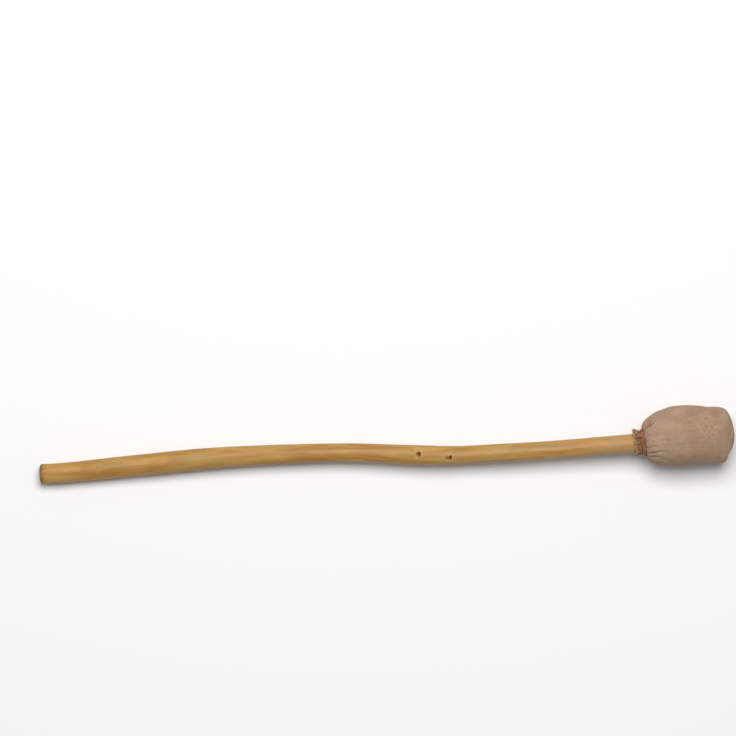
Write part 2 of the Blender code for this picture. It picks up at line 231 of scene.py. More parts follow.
# ---- Binding thread ----
PLY_COUNT = 3
PLY_DIAMETER = 0.48
PLY_OFFSET = 0.25
PLY_PITCH = 3.0
PLY_SIDES = 8
THREAD_STEP = 0.22
# How finely a path is worked out before it is cut into even steps, and the points of a turn and the knot.
PATH_SAMPLES = 60
TURN_POINTS = 24
KNOT_POINTS = 40
THREAD_TURNS = 2
THREAD_PITCH = 0.98
THREAD_MIDDLE = -0.3
# How far the thread's middle lies off the neck, past one strand's thickness.
THREAD_LIFT = 0.12
KNOT_ANGLE = 62.0
KNOT_SCALE = 0.55
# The strand across the knot, the long end in the frill's crease and the short end over the turns:
# distance, lift off the turns and angle past the knot's.
KNOT_STRANDS = (
    ((1.1, 0.2, -26), (0.9, 0.7, -13), (-0.3, 1.5, 0), (-1.4, 0.8, 12), (-1.6, 0.15, 26)),
    ((-0.4, 1.3, 0), (-1.8, 1.6, 2), (-3.2, 0.9, 1), (-4.9, 0.9, 3), (-6.4, 1.5, 1)),
    ((0.2, 1.3, 2), (0.4, 1.9, 10), (0.1, 1.6, 18), (-0.5, 1.2, 25)),
)

# ---- Stage, in metres ----
FLOOR_REACH = 6.0
FLOOR_GREY = (0.88, 0.88, 0.88, 1.0)
SKY_STRENGTH = 0.25
# Each light: name, place, size and power in watts.
LIGHTS = (("key_light", (0.1, 0.8, 2.2), 1.2, 50.0), ("fill_light", (-1.5, 0.6, 1.6), 1.2, 5.0))
CAMERA_PLACE = (-0.0141, 0.0595, 3.189)
CAMERA_LENS = 200.0
CAMERA_SENSOR = 36.0
CAMERA_REACH = 30.0

BEATER_BODY = "root"


# ---- Arithmetic ----

def ease(amount):
    """A share from 0 to 1, clamped, that starts and ends gently."""
    amount = np.clip(amount, 0, 1)
    return amount * amount * (3 - 2 * amount)


def hump(away):
    """A smooth bump that is 1 at nought and all but gone at 2."""
    return np.exp(-away * away)


def turned(angle, start):
    """Signed difference of two angles in radians, from minus half a turn to half a turn."""
    return (angle - start + math.pi) % TURN - math.pi


def round_angles(count):
    """Evenly spaced angles, in radians, once round a circle."""
    return TURN * np.arange(count) / count


def along(points, at):
    """Values at places on the smooth curve through rows of (place, value, ...)."""
    points = np.array(points, float)
    places, values = points[:, 0], points[:, 1:]
    slopes = np.gradient(values, places, axis=0)
    at = np.clip(np.atleast_1d(at), places[0], places[-1])
    i = np.clip(np.searchsorted(places, at, side="right") - 1, 0, len(places) - 2)
    span = (places[i + 1] - places[i])[:, None]
    t = (at - places[i])[:, None] / span
    rise = values[i + 1] - values[i]
    early = slopes[i] * span - rise
    late = rise - slopes[i + 1] * span
    return values[i] + rise * t + t * (1 - t) * (early * (1 - t) + late * t)


def through(points, t):
    """Points on the Catmull-Rom curve through a list of points, with t from 0 to 1."""
    points = np.array(points, float)
    last = len(points) - 1
    at = np.clip(np.atleast_1d(t), 0, 1) * last
    i = np.minimum(at.astype(int), last - 1)
    t = (at - i)[:, None]
    p0, p1, p2, p3 = (points[np.clip(i + k, 0, last)] for k in (-1, 0, 1, 2))
    bend = 2 * p0 - 5 * p1 + 4 * p2 - p3
    return 0.5 * (2 * p1 + (p2 - p0) * t + bend * t ** 2 + (3 * p1 - p0 - 3 * p2 + p3) * t ** 3)


def norm(vectors):
    return np.linalg.norm(vectors, axis=-1)


def unit(vectors):
    return vectors / norm(vectors)[..., None]


def round_x(x, radius, angle):
    """Points at places along X and at radii and angles round it."""
    return np.stack(np.broadcast_arrays(x, radius * np.cos(angle), radius * np.sin(angle)), axis=-1)


def spokes(across, over, angle):
    """For each row of two directions, the unit circle that they span, as a row of points."""
    return np.cos(angle)[None, :, None] * across[:, None] + np.sin(angle)[None, :, None] * over[:, None]


def steps_along(points):
    """The lengths of the steps from point to point, and how far each point is from the first."""
    steps = norm(np.diff(points, axis=0))
    return steps, np.concatenate([[0], np.cumsum(steps)])


def read_off(at, places, rows):
    """Rows of three values, known at places, read off in a straight line between the nearest two."""
    return np.stack([np.interp(at, places, rows[:, k]) for k in range(3)], axis=1)


LATTICE = 32


def noise(points, size, seed):
    """Smooth noise from -1 to 1 at each point, whose lumps are about size across."""
    table = np.random.default_rng(seed).uniform(-1, 1, (LATTICE,) * 3)
    at = points / size
    cell = np.floor(at).astype(int)
    part = at - cell
    part = part * part * (3 - 2 * part)
    total = np.zeros(points.shape[:-1])
    for corner in np.ndindex(2, 2, 2):
        share = np.prod(np.where(corner, part, 1 - part), axis=-1)
        i, j, k = np.moveaxis((cell + corner) % LATTICE, -1, 0)
        total += share * table[i, j, k]
    return total


def layered(points, size, seed):
    """Noise with two finer and fainter layers on top."""
    return sum(noise(points, size / 2 ** k, seed + k) / 2 ** k for k in range(3))


def drawn_out(points, factor):
    """Places to read noise at, so that its lumps are drawn out along X."""
    return points / (factor, 1, 1)


# ---- Meshes ----

def closed_skin(rings, first_pole, last_pole):
    """Points and faces of a closed surface through rings of points, ending in a point at both ends."""
    rows, columns = rings.shape[:2]
    points = np.concatenate([rings.reshape(-1, 3), [first_pole], [last_pole]])
    grid = np.arange(rows * columns).reshape(rows, columns)
    beside = np.roll(grid, -1, axis=1)
    quads = np.stack([grid[:-1], beside[:-1], beside[1:], grid[1:]], axis=-1).reshape(-1, 4)
    caps = []
    for pole, row in ((rows * columns, 0), (rows * columns + 1, rows - 1)):
        caps += [(a, b, pole) for a, b in zip(grid[row].tolist(), beside[row].tolist())]
    return points, quads.tolist() + caps


def joined(skins):
    """The points and faces of several skins as one mesh's."""
    points, faces, count = [], [], 0
    for skin_points, skin_faces in skins:
        points.append(skin_points)
        faces += [[index + count for index in face] for face in skin_faces]
        count += len(skin_points)
    return np.concatenate(points), faces


def with_poles(grid, poles=((0, 0, 0), (0, 0, 0))):
    """A grid of marks as one row for each point of its closed skin."""
    return np.concatenate([grid.reshape(-1, 3), poles])


def add_object(name, data):
    added = bpy.data.objects.new(name, data)
    bpy.context.scene.collection.objects.link(added)
    return added


def add_piece(name, skin, finish, node, marks):
    """A smooth-shaded object in metres, with its per-point marks, standing for a solid of the frame."""
    points, faces = skin
    mesh = bpy.data.meshes.new(name)
    mesh.from_pydata((points * MM).tolist(), [], faces)
    bm = bmesh.new()
    bm.from_mesh(mesh)
    bmesh.ops.recalc_face_normals(bm, faces=bm.faces)
    bm.to_mesh(mesh)
    bm.free()
    for label, values in marks.items():
        made = mesh.attributes.new(label, "FLOAT_VECTOR", "POINT")
        made.data.foreach_set("vector", np.ascontiguousarray(values, np.float32).ravel())
    mesh.shade_smooth()
    mesh.materials.append(finish)
    piece = add_object(name, mesh)
    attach(piece, BEATER_BODY)
    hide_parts(node)
    return piece


# ---- Shader nodes ----

class Finish:
    """A material being built: each call adds a node or two and returns one of their outputs."""

    def __init__(self, name):
        self.material = bpy.data.materials.new(name)
        self.material.use_nodes = True
        self.tree = self.material.node_tree
        self.shader = self.tree.nodes["Principled BSDF"]

    def put(self, socket, value):
        if isinstance(value, bpy.types.NodeSocket):
            self.tree.links.new(value, socket)
        else:
            socket.default_value = value

    def add(self, kind, inputs, output=0, **settings):
        node = self.tree.nodes.new("ShaderNode" + kind)
        for key, value in settings.items():
            setattr(node, key, value)
        for key, value in inputs.items():
            self.put(node.inputs[key], value)
        return node.outputs[output]

    def place(self):
        return self.add("TexCoord", {}, "Object")

    def attribute(self, label):
        return self.add("Attribute", {}, "Vector", attribute_name=label)

    def parts(self, vector):
        return self.add("SeparateXYZ", {0: vector}).node.outputs

    def noise(self, vector, scale, detail, roughness=0.5, distortion=0):
        inputs = {"Vector": vector, "Scale": scale, "Detail": detail}
        return self.add("TexNoise", inputs | {"Roughness": roughness, "Distortion": distortion})

    def streaks(self, vector, factors, *shape):
        """Noise drawn out along the axes whose factors are small."""
        return self.noise(self.add("VectorMath", {0: vector, 1: factors}, operation="MULTIPLY"), *shape)

    def ramp(self, value, low, high):
        """The value's share of the way from low to high, eased and clamped."""
        inputs = {"Value": value, "From Min": low, "From Max": high}
        return self.add("MapRange", inputs, interpolation_type="SMOOTHSTEP")

    def maths(self, operation, a, b=0):
        return self.add("Math", {0: a, 1: b}, operation=operation)

    def times(self, a, b):
        return self.maths("MULTIPLY", a, b)

    def mix(self, amount, a, b):
        """The colour that lies amount of the way from a to b, which are outputs or screen colours."""
        a, b = (colour(*shade) if isinstance(shade, tuple) else shade for shade in (a, b))
        return self.add("Mix", {0: amount, 6: a, 7: b}, 2, data_type="RGBA")

    def tint(self, base, mask, strength, shade):
        """The base with so much of a shade over it where the mask is."""
        return self.mix(self.times(mask, strength), base, shade)

    def grain(self, base, mask, strength, shade):
        """The base with so much of a shade over it where the mask isn't."""
        return self.mix(mask, self.mix(strength, base, shade), base)

    def relief(self, *bumps):
        """The normal of bumps laid on one another, each a height, a distance and a strength."""
        under = {}
        for height, distance, strength in bumps:
            inputs = {"Height": height, "Distance": distance, "Strength": strength}
            under = {"Normal": self.add("Bump", inputs | under)}
        return under["Normal"]

    def finish(self, **inputs):
        for key, value in inputs.items():
            self.put(self.shader.inputs[key.replace("_", " ")], value)
        return self.material


def colour(red, green, blue):
    """A linear colour from one as a screen shows it, from 0 to 255."""
    def linear(value):
        value /= 255
        return value / 12.92 if value <= 0.04045 else ((value + 0.055) / 1.055) ** 2.4
    return (linear(red), linear(green), linear(blue), 1)


# ---- The stick ----

def measured_axis():
    """Rows of (x, y, z, radius) down the stick's solid, found by rays from its middle."""
    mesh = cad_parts["stick"].data
    points = np.array([vertex.co for vertex in mesh.vertices]) / MM
    tree = BVHTree.FromPolygons(points.tolist(), [tuple(face.vertices) for face in mesh.polygons])
    outward = round_x(0, 1, round_angles(SECTION_RAYS))
    low = points[:, 0].min() + SECTION_MARGIN
    high = points[:, 0].max() - SECTION_MARGIN
    rows = []
    for x in np.arange(low, high, SECTION_STEP):
        near = points[np.abs(points[:, 0] - x) < 2 * SECTION_STEP]
        centre = (near.min(axis=0) + near.max(axis=0)) / 2
        centre[0] = x
        for _ in range(SECTION_ROUNDS):
            reach = np.array([tree.ray_cast(Vector(centre), Vector(way))[3] for way in outward])
            centre += 2 * (outward * reach[:, None]).mean(axis=0)
        rows.append((x, centre[1], centre[2], np.median(reach)))
    return np.array(rows)


STICK_BOX = [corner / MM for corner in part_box("stick")]
HEAD_BOX = [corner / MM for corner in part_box("leather_head")]
BUTT_X = STICK_BOX[0].x
STICK_END_X = STICK_BOX[1].x
TIE_X = HEAD_BOX[1].x - HEAD_TIP
AXIS = measured_axis()


def stick_axis(x):
    """Points of the stick's middle line at places along X, carried on straight past the rows measured."""
    x = np.atleast_1d(np.asarray(x, float))
    inside = np.clip(x, AXIS[0, 0], AXIS[-1, 0])
    side, height, _ = along(AXIS, inside).T
    for values, column in ((side, 1), (height, 2)):
        start = (AXIS[1, column] - AXIS[0, column]) / (AXIS[1, 0] - AXIS[0, 0])
        end = (AXIS[-1, column] - AXIS[-2, column]) / (AXIS[-1, 0] - AXIS[-2, 0])
        values += np.where(x < inside, start, end) * (x - inside)
    return np.stack([x, side, height], axis=1)


def stick_radius(x):
    return along(AXIS, x)[:, 2]


def stick_stations():
    """Places of the stick's rings, closer together at the scars and at the butt."""
    x = BUTT_X + BUTT_DOME + BUTT_ROUNDING
    stations = []
    while x < STICK_END_X - 1:
        stations.append(x)
        near = min(abs(x - scar[0]) for scar in TWIG_SCARS)
        near = min(near, (x - BUTT_X) / 1.5)
        wide = float(ease((near - STICK_FINE_REACH) / STICK_FINE_FADE))
        x += STICK_FINE_STEP + (STICK_STEP - STICK_FINE_STEP) * wide
    return np.array(stations)


def scar_relief(x, angle, radius):
    """Height, darkness and pale halo of the twig scars at each point."""
    x, angle, radius = np.broadcast_arrays(x, angle, radius)
    height, dark, halo = np.zeros(x.shape), np.zeros(x.shape), np.zeros(x.shape)
    for place, scar_angle, half_length, half_width, depth, darkness in TWIG_SCARS:
        sideways = radius * turned(angle, math.radians(scar_angle))
        lengthwise = x - place
        spot = np.stack(np.broadcast_arrays(lengthwise, sideways, place), axis=-1)
        ragged = 1 + 0.4 * noise(spot, 1.3, 31) + 0.2 * noise(spot, 0.6, 32)
        away = np.hypot(lengthwise / half_length, sideways / half_width) * ragged
        core = 1 - ease((away - 0.7) / 0.45)
        swelling = 0.5 * depth * hump(np.hypot(lengthwise, sideways) / 3.6)
        collar = 0.25 * depth * hump((away - 1.7) / 0.7)
        height += swelling + collar - depth * core
        dark = np.maximum(dark, darkness * core)
        halo = np.maximum(halo, darkness ** 2 * hump((away - 2) / 0.9))
    return height, dark, halo


def butt_rings(radius):
    """Radii and places of the butt's rings: over its slightly domed face and round its worn rim."""
    rows = [(share, 0, share ** 2 * BUTT_DOME) for share in BUTT_FACE_SHARES]
    for step in range(1, BUTT_ROUNDING_STEPS):
        turn = math.radians(90 * step / BUTT_ROUNDING_STEPS)
        rows.append((1, math.sin(turn), BUTT_DOME + BUTT_ROUNDING * (1 - math.cos(turn))))
    radii = [(radius - BUTT_ROUNDING) * share + BUTT_ROUNDING * swing for share, swing, _ in rows]
    return radii, [np.full(STICK_SIDES, BUTT_X + depth) for _, _, depth in rows]


def make_stick():
    x = stick_stations()
    angle = round_angles(STICK_SIDES) + TURN / 2 / STICK_SIDES
    plain = stick_radius(x)[:, None]
    straight = round_x(x[:, None], STICK_CYLINDER, angle)

    # Long shallow flats and hollows of a peeled branch, fine ridges along the grain, and the scars.
    relief = 0.1 * noise(drawn_out(straight, 9), 6, 3)
    relief += 0.05 * layered(drawn_out(straight, 14), 2.2, 5)
    relief += 0.05 * layered(straight, 7, 9)
    scars, dark, halo = scar_relief(x[:, None], angle[None, :], plain)
    radius = plain + relief + scars

    butt_radius, butt_x = butt_rings(radius[0])
    all_radius = np.concatenate([butt_radius, radius])
    all_x = np.concatenate([butt_x, np.repeat(x[:, None], STICK_SIDES, axis=1)])
    saw_lines = SAW_DEPTH * np.sin(all_radius * np.sin(angle + SAW_SLANT) * SAW_WAVE)
    all_x += saw_lines * hump((all_x - BUTT_X) / SAW_FADE)

    # The rings stand square to the stick's bent middle line, and none goes below the floor.
    mean_x = all_x.mean(axis=1)
    middle = stick_axis(mean_x)
    ahead = unit(np.gradient(middle, mean_x, axis=0))
    across = unit(np.array([0, 1, 0]) - ahead * ahead[:, 1:2])
    spoke = spokes(across, np.cross(ahead, across), angle)
    rings = middle[:, None] + all_radius[..., None] * spoke
    rings += (all_x - mean_x[:, None])[..., None] * ahead[:, None]
    rings[..., 2] = np.maximum(rings[..., 2], 0)

    wood = round_x(all_x, all_radius, angle)
    marks = np.zeros(rings.shape)
    marks[len(butt_x):, :, 0] = dark
    marks[len(butt_x):, :, 1] = halo
    soiled = layered(drawn_out(wood, 3), 3, 14)
    rim = hump((all_x - BUTT_X - RIM_PLACE) / RIM_SPREAD) * (0.75 + 0.5 * soiled)
    marks[..., 2] = np.clip(rim, 0, 1)
    skin = closed_skin(rings, *stick_axis([BUTT_X, STICK_END_X]))
    attributes = {
        "wood": with_poles(wood, ((BUTT_X, 0, 0), (STICK_END_X, 0, 0))) * MM,
        "wood_marks": with_poles(marks, ((0, 0, 0.3), (0, 0, 0))),
    }
    add_piece("peeled_branch", skin, wood_finish(), "stick", attributes)


def wood_finish():
    """Golden peeled wood: long blotches, fine grain, scars, and a soiled, darker butt."""
    made = Finish("peeled_wood_finish")
    wood = made.attribute("wood")
    scar, halo, soil_and_shade = made.parts(made.attribute("wood_marks"))
    x, y, z = made.parts(wood)

    blotches = made.streaks(wood, (0.16, 1, 1), 115, 3, 0.55, 0.6)
    body = made.mix(made.ramp(blotches, 0.34, 0.66), (169, 123, 58), (194, 153, 85))
    ambers = made.streaks(wood, (0.11, 1, 1), 150, 3, 0.6, 0.5)
    body = made.tint(body, made.ramp(ambers, 0.52, 0.74), 0.5, (150, 91, 38))
    greys = made.streaks(wood, (0.2, 1, 1), 90, 2, 0.5, 0.3)
    body = made.tint(body, made.ramp(greys, 0.5, 0.74), 0.5, (152, 132, 84))
    # Rosier over the last 80 mm before the tie.
    near_head = made.ramp(x, (TIE_X - 80) * MM, (TIE_X - 8) * MM)
    body = made.tint(body, near_head, 0.4, (188, 141, 97))

    fibres = made.streaks(wood, (0.035, 1, 1), 1500, 4, 0.65)
    body = made.grain(body, made.ramp(fibres, 0.3, 0.72), 0.24, (120, 74, 30))
    flecks = made.streaks(wood, (0.09, 1, 1), 3400, 2, 0.5)
    body = made.tint(body, made.ramp(flecks, 0.64, 0.74), 0.3, (110, 66, 28))

    # The sawn end: rings about 0.64 mm apart round a dark pith, on the butt's face alone.
    from_pith = made.maths("SQRT", made.maths("ADD", made.times(y, y), made.times(z, z)))
    wander = made.times(made.noise(wood, 190, 3), 0.0016)
    rings = made.maths("SINE", made.times(made.maths("ADD", from_pith, wander), 9800))
    patches = made.ramp(made.noise(wood, 420, 2), 0.3, 0.62)
    rings = made.times(made.ramp(rings, 0.1, 1), patches)
    sawn = made.mix(made.noise(wood, 800, 3, 0.6), (150, 106, 60), (188, 144, 90))
    end = made.tint(sawn, rings, 0.6, (122, 80, 42))
    end = made.mix(made.ramp(from_pith, 0.0009, 0.0004), end, (96, 62, 34))
    on_end = made.ramp(x, BUTT_X * MM + 0.0014, BUTT_X * MM + 0.0006)
    body = made.mix(on_end, body, end)

    body = made.tint(body, halo, 0.3, (204, 170, 118))
    # The soiled rim of the butt.
    body = made.tint(body, soil_and_shade, 0.84, (84, 62, 34))
    core = made.mix(made.noise(wood, 1400, 2), (66, 34, 5), (110, 63, 18))
    body = made.mix(scar, body, core)

    gloss = made.maths("ADD", made.times(blotches, 0.2), 0.4)
    gloss = made.maths("ADD", gloss, made.times(scar, 0.3))
    relief = made.relief((fibres, 0.00012, 0.6), (made.noise(wood, 900, 3), 0.00005, 0.5))
    return made.finish(Base_Color=body, Roughness=gloss, Normal=relief, Specular_IOR_Level=0.28,
                       Coat_Weight=0.04, Coat_Roughness=0.35)


# ---- The suede head ----

def slanted(points, distance):
    """Leans points near the tie the way the tie lies on the neck."""
    fade = 1 - ease(distance / SLANT_REACH)
    leaning = points.copy()
    leaning[..., 0] -= TIE_SLANT * fade * (points[..., 1] - stick_axis(TIE_X)[0, 1])
    return leaning


def neck_point(distance, radius, angle):
    """Points round the neck, from arrays of one shape."""
    distance, radius, angle = np.broadcast_arrays(*np.atleast_1d(distance, radius, angle))
    centre = stick_axis(TIE_X + distance.ravel()).reshape(distance.shape + (3,))
    return slanted(centre + round_x(0, radius, angle), distance)


def neck_spot(distance, lift, angle):
    """One point over the neck, its angle in degrees."""
    return neck_point(distance, NECK_RADIUS + lift, math.radians(angle))[0]


def head_centre(distance, offset):
    distance, offset = np.broadcast_arrays(*np.atleast_1d(distance, offset))
    neck = stick_axis(TIE_X + distance)
    rise = np.minimum(offset / HEAD_PROFILE[-1][2], 1)
    height = neck[:, 2] + (HEAD_AXIS_HEIGHT - neck[:, 2]) * rise
    return np.stack([TIE_X + distance, stick_axis(TIE_X)[0, 1] + offset, height], axis=1)


# The head's profile in fine rows of distance, radius and offset, and the runs along it from the neck.
PROFILE = through(HEAD_PROFILE, np.linspace(0, 1, PROFILE_SAMPLES))
PROFILE_STEPS, PROFILE_RUNS = steps_along(PROFILE[:, :2])
PROFILE_LENGTH = float(PROFILE_STEPS.sum())


def head_surface(runs, angle):
    """The head's smooth surface, as a grid of points, one row for each run from the neck."""
    rows = read_off(runs, PROFILE_RUNS, PROFILE)
    centre = head_centre(rows[:, 0], rows[:, 2])
    return slanted(centre[:, None] + round_x(0, rows[:, 1:2], angle), rows[:, None, 0])


def head_normals(points):
    """Outward directions of a grid of points that closes round on itself."""
    around = np.roll(points, -1, axis=1) - np.roll(points, 1, axis=1)
    down = np.gradient(points, axis=0)
    return unit(np.cross(around, down))


def surface_spot(distance, angle):
    """The point of the smooth head at a distance from the tie, past the neck's overhang."""
    runs = np.linspace(SPOT_FROM_RUN, PROFILE_LENGTH, SPOT_SAMPLES)
    distances = read_off(runs, PROFILE_RUNS, PROFILE)[:, 0]
    near = int(np.argmin(np.abs(distances - distance)))
    return head_surface(runs[near:near + 1], np.radians([angle]))[0, 0]


def from_line(points, normals, line):
    """For each point: its distance from a line on the surface, with a sign for the side it is on,
    how far along the line it is, from 0 to 1, and the way across the line."""
    lengths, starts = steps_along(line)
    best = np.full(points.shape[:-1], np.inf)
    share = np.zeros_like(best)
    sideways = np.zeros_like(points)
    for index, (a, b) in enumerate(zip(line, line[1:])):
        t = np.clip(((points - a) @ (b - a)) / ((b - a) @ (b - a)), 0, 1)
        away = norm(points - a - t[..., None] * (b - a))
        nearer = away < best
        best = np.where(nearer, away, best)
        share = np.where(nearer, (starts[index] + t * lengths[index]) / starts[-1], share)
        across = np.cross(b - a, normals)
        sideways = np.where(nearer[..., None], across, sideways)
        side = np.einsum("...k,...k->...", points - a, across)
        signed = np.where(nearer, np.sign(side) * away, signed) if index else np.sign(side) * away
    return signed, share, unit(sideways + 1e-9)


def head_runs(fine_run, fine_step, step):
    """Runs of the head's rings from the neck to the tip, closer together over the first stretch."""
    return np.concatenate([np.arange(0, fine_run, fine_step), np.arange(fine_run, PROFILE_LENGTH, step)])


def pleat_line(start_angle, spots, count):
    """A smooth line down a pleat, from inside the throat of the neck if it starts there."""
    line = [surface_spot(*spot) for spot in spots]
    if start_angle is not None:
        line.insert(0, head_surface(np.array([0.2]), np.radians([start_angle]))[0, 0])
    return through(np.array(line), np.linspace(0, 1, count))


def pressed_and_pleated(points, normals, runs):
    """How far pleats, lumps and dents move each point of the smooth head, and how much painted shade each
    point gets in the folds and dents.
    """
    lift = np.zeros(points.shape[:-1])
    slide = np.zeros_like(points)
    painted_shade = np.zeros_like(lift)
    for start_angle, spots, depth, width, lip in PLEATS:
        away, share, across = from_line(points, normals, pleat_line(start_angle, spots, PLEAT_POINTS))
        fade = ease((1 - share) / 0.45)
        if start_angle is None:
            fade = fade * ease(share / 0.2)
        narrow = width * (0.8 + 0.4 * share)
        valley = hump(away / narrow)
        near_lip = hump((away - 1.9 * narrow) / (1.4 * narrow))
        far_lip = hump((away + 2.2 * narrow) / (1.9 * narrow))
        lift += fade * (-depth * valley + lip * near_lip + 0.45 * lip * far_lip)
        slide -= (ease(share / 0.3) * fade * depth * 0.16 * near_lip)[..., None] * across
        deepness = ease((1.2 * depth - 0.2) / 1.4)
        painted_shade = np.maximum(painted_shade, deepness * fade * hump((away + 0.4 * narrow) / (0.95 * narrow)))
    for start, start_angle, end, end_angle, width, height in FORMS:
        line = np.array([surface_spot(start, start_angle), surface_spot(end, end_angle)])
        away, _, _ = from_line(points, normals, line)
        lift += height * hump(away / width)
        if height < 0:
            painted_shade = np.maximum(painted_shade, 0.22 * hump(away / (0.5 * width)))
    open_end = ease(runs / 3)[:, None]
    return (normals * lift[..., None] + slide) * open_end[..., None], painted_shade


def worn_texture(points, normals, runs, angle):
    """How far stuffing lumps, wrinkles and pits move each point, and where the hide is worn and pitted."""
    flat = round_x(runs[:, None], HEAD_CYLINDER, angle)
    lift = 0.34 * noise(points, 15, 41) + 0.16 * noise(points, 6.5, 42)
    turn = np.degrees(angle)[None, :]
    worn = hump((runs[:, None] - WORN_RUN) / WORN_RUN_SPREAD) * hump((turn - WORN_ANGLE) / WORN_ANGLE_SPREAD)
    worn = np.clip(worn * 1.3 + 0.3 * layered(points, 9, 44) - 0.1, 0, 1)
    for distance, patch_angle, size in ROUGH_PATCHES:
        away = norm(points - surface_spot(distance, patch_angle)) / size
        worn = np.maximum(worn, 0.75 * (1 - ease(away * (1 + 0.4 * noise(points, 2.5, 58)) - 0.4)))
    lift -= 0.3 * worn * np.clip(layered(drawn_out(flat, 5), 1.5, 47), 0, 1)
    lines = worn * hump(noise(drawn_out(flat, 4), 1.7, 48) / 0.13)
    lines = lines * ease(noise(points, 3, 49) * 2 + 0.4)
    lift -= 0.14 * lines
    small = np.clip(noise(points, 1.25, 51) - 0.42, 0, 1)
    lift -= (0.05 + 0.85 * worn) * small
    lift += 0.035 * noise(points, 1.4, 53)
    pits = np.maximum(2 * (0.15 + worn) * small, 0.7 * lines)
    for distance, pit_angle, length, width, depth in PITS:
        away = (points - surface_spot(distance, pit_angle)) / (length, width, width)
        away = norm(away) * (1 + 0.5 * noise(points, 0.9, 57))
        pit = 1 - ease((away - 0.3) / 0.9)
        lift += 0.2 * depth * hump((away - 1.4) / 0.6) - depth * pit
        pits = np.maximum(pits, pit)
    fade = (ease(runs / 4) * ease((PROFILE_LENGTH - runs) / 3))[:, None]
    return normals * (lift * fade)[..., None], worn * fade, np.clip(pits, 0, 1) * fade


def resampled(places, values, at):
    """Rows of values known at places, read off at other places on the smooth curves through them."""
    t = np.interp(at, places, np.linspace(0, 1, len(places)))
    return through(values.reshape(len(places), -1), t).reshape(-1, *values.shape[1:])


def cut_shape(points, runs):
    """The hide before it was gathered: wider round the neck than it is now, and as long."""
    wider = 1 + GATHER * (1 - ease(runs / GATHER_REACH))
    middle = points.mean(axis=1, keepdims=True)
    wide = middle + (points - middle) * wider[:, None, None]
    radius = norm(points - middle).mean(axis=1)
    for row in range(len(runs) - 2, -1, -1):
        if wider[row] > 1:
            step = runs[row + 1] - runs[row]
            rise = radius[row + 1] * wider[row + 1] - radius[row] * wider[row]
            forward = math.sqrt(max(step ** 2 - rise ** 2, (0.2 * step) ** 2))
            wide[row, :, 0] = wide[row + 1, :, 0].mean() - forward
    return wide


def gathered(points, runs):
    """Cloth simulation: the hide, tied in at the neck and pushed out by its stuffing, finds its puckers."""
    rows, columns = points.shape[:2]
    cut = cut_shape(points, runs)
    start, faces = closed_skin(cut, cut[0].mean(axis=0), cut[-1].mean(axis=0))
    tied, _ = closed_skin(points, points[0].mean(axis=0), points[-1].mean(axis=0))
    mesh = bpy.data.meshes.new("hide_cloth")
    mesh.from_pydata((start * CLOTH_SCALE).tolist(), [], faces)
    cloth = add_object("hide_cloth", mesh)
    cloth.shape_key_add(name="cut")
    key = cloth.shape_key_add(name="tied")
    key.data.foreach_set("co", (tied * CLOTH_SCALE).ravel())
    for frame_number, value in ((1, 0), (CLOTH_TIED, 1)):
        key.value = value
        key.keyframe_insert("value", frame=frame_number)
    held = cloth.vertex_groups.new(name="held")
    for row, run in enumerate(runs):
        weight = 1 if row < 2 else HOLD * float(ease((run - HOLD_FROM) / GATHER_REACH))
        held.add(list(range(row * columns, (row + 1) * columns)), weight, "REPLACE")
    held.add([rows * columns], 1, "REPLACE")
    held.add([rows * columns + 1], HOLD, "REPLACE")
    modifier = cloth.modifiers.new("gather", "CLOTH")
    for setting, value in CLOTH_SETTINGS.items():
        setattr(modifier.settings, setting, value)
    modifier.settings.effector_weights.gravity = 0
    modifier.collision_settings.use_collision = False
    modifier.collision_settings.use_self_collision = False
    scene = bpy.context.scene
    for step in range(1, CLOTH_FRAMES + 1):
        scene.frame_set(step)
    settled = cloth.evaluated_get(bpy.context.evaluated_depsgraph_get()).to_mesh()
    after = np.zeros(len(settled.vertices) * 3)
    settled.vertices.foreach_get("co", after)
    bpy.data.actions.remove(mesh.shape_keys.animation_data.action)
    bpy.data.objects.remove(cloth)
    bpy.data.meshes.remove(mesh)
    scene.frame_set(1)
    return after.reshape(-1, 3)[:rows * columns].reshape(rows, columns, 3) / CLOTH_SCALE


def draped_head(runs, angle):
    """The head's surface on its fine grid, with the puckers that the cloth simulation finds."""
    fine = head_surface(runs, angle)
    coarse_runs = head_runs(GATHER_REACH, CLOTH_FINE_STEP, CLOTH_STEP)
    before = head_surface(coarse_runs, round_angles(CLOTH_COLUMNS))
    normals = head_normals(before)
    guided = before + normals * guide_dents(before, coarse_runs)[..., None]
    moved = gathered(guided, coarse_runs) - before

    # The head keeps its girth: only the puckers either side of it are kept, packed down by the stuffing.
    outward = np.einsum("...k,...k->...", moved, normals)
    moved -= normals * outward.mean(axis=1)[:, None, None]
    moved *= CLOTH_SHARE / (1 + norm(moved)[..., None] / CLOTH_CAP)
    moved *= ease((coarse_runs - 1.5) / 11)[:, None, None]
    moved = resampled(coarse_runs, moved, runs)

    # Round the head, the last columns go before the first and the first ones after the last.
    around = np.swapaxes(moved, 0, 1)
    around = np.concatenate([around[-2:], around, around[:2]])
    padded_angle = TURN / CLOTH_COLUMNS * np.arange(-2, CLOTH_COLUMNS + 2)
    return fine + np.swapaxes(resampled(padded_angle, around, angle), 0, 1)


def guide_dents(points, runs):
    """Shallow dents that tell the puckers where to form."""
    normals = head_normals(points)
    dents = 0.12 * noise(points, 5, 71)
    for start_angle, spots, depth, width, _ in PLEATS:
        away, share, _ = from_line(points, normals, pleat_line(start_angle, spots, GUIDE_POINTS))
        dents -= 0.45 * depth * (1 - 0.6 * share) * hump(away / (1.6 * width + 0.6))
    return dents * ease(runs / 2)[:, None]


